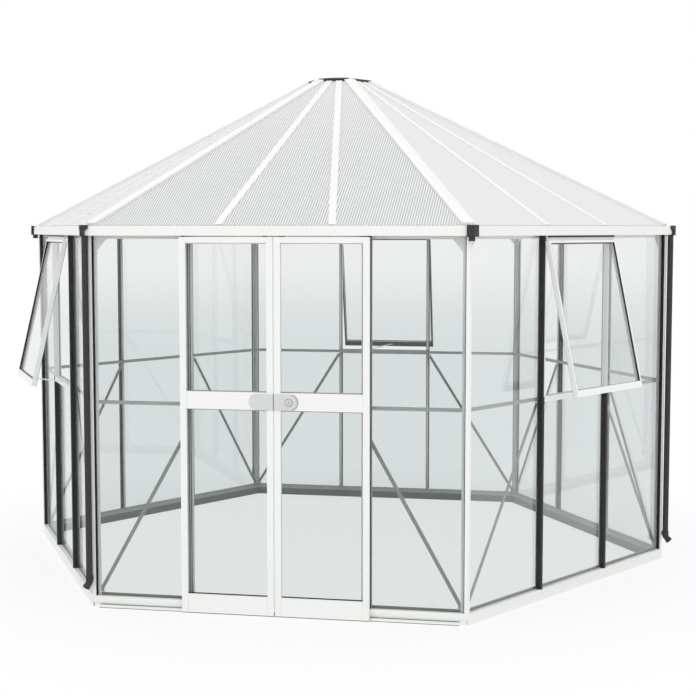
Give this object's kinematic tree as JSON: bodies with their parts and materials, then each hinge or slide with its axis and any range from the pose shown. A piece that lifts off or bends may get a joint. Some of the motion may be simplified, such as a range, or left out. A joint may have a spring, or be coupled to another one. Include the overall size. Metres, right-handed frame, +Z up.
{
  "type": "hexagonal greenhouse",
  "caption": "Hexagonal glazed greenhouse with a pitched sheet roof, top-hung vents standing open, rain gutters and a pair of sliding door leaves.",
  "frame": {"origin": "centre of the hexagonal base frame, on the ground plane it stands on", "axes": "+Z up, the door wall faces -Y, +X to the right of someone facing the doors"},
  "size_m": [3.8233, 3.4802, 2.727],
  "materials": {
    "white_paint": "satin",
    "bare_aluminium": "matte",
    "glass": "clear",
    "roof_sheet": "translucent",
    "black_trim": "satin",
    "black_plastic": "satin",
    "handle_metal": "satin",
    "hanger_plastic": "matte"
  },
  "bodies": {
    "house": {"back_roof_panels": "roof_sheet", "back_wall_glass": "glass", "bar_caps": "black_trim", "base_rails": "white_paint", "corner_posts": "white_paint", "corner_seals": "black_trim", "crown_cap": "black_plastic", "crown_ring": "bare_aluminium", "door_guide_rail": "white_paint", "door_head_track": "bare_aluminium", "door_jambs": "bare_aluminium", "eaves_gussets": "bare_aluminium", "front_roof_panels": "roof_sheet", "front_wall_glass": "glass", "gutter_corners": "black_plastic", "gutters": "white_paint", "hip_bars": "bare_aluminium", "hip_caps": "white_paint", "jamb_caps": "black_trim", "left_back_roof_panels": "roof_sheet", "left_back_wall_glass": "glass", "left_front_roof_panels": "roof_sheet", "left_front_wall_glass": "glass", "mid_rails": "bare_aluminium", "pipe_clips": "black_plastic", "rain_pipes": "black_plastic", "right_back_roof_panels": "roof_sheet", "right_back_wall_glass": "glass", "right_front_roof_panels": "roof_sheet", "right_front_wall_glass": "glass", "roof_bars": "bare_aluminium", "roof_caps": "white_paint", "vent_glass": "glass", "vent_hinges": "bare_aluminium", "vent_rails": "white_paint", "vent_sills": "white_paint", "vent_stays": "bare_aluminium", "vent_stiles": "white_paint", "wall_bars": "bare_aluminium", "wall_braces": "bare_aluminium"},
    "left_door": {"left_door_glass": "glass", "left_door_handle": "handle_metal", "left_door_hangers": "hanger_plastic", "left_door_rails": "white_paint", "left_door_stiles": "white_paint"},
    "right_door": {"right_door_glass": "glass", "right_door_handle": "handle_metal", "right_door_hangers": "hanger_plastic", "right_door_lock": "handle_metal", "right_door_rails": "white_paint", "right_door_stiles": "white_paint"}
  },
  "joints": [
    {"name": "left_door_slide", "type": "slide", "parent": "house", "child": "left_door", "axis": [-1, 0, 0], "range_m": [0, 0.42]},
    {"name": "right_door_slide", "type": "slide", "parent": "house", "child": "right_door", "axis": [1, 0, 0], "range_m": [0, 0.42]}
  ]
}
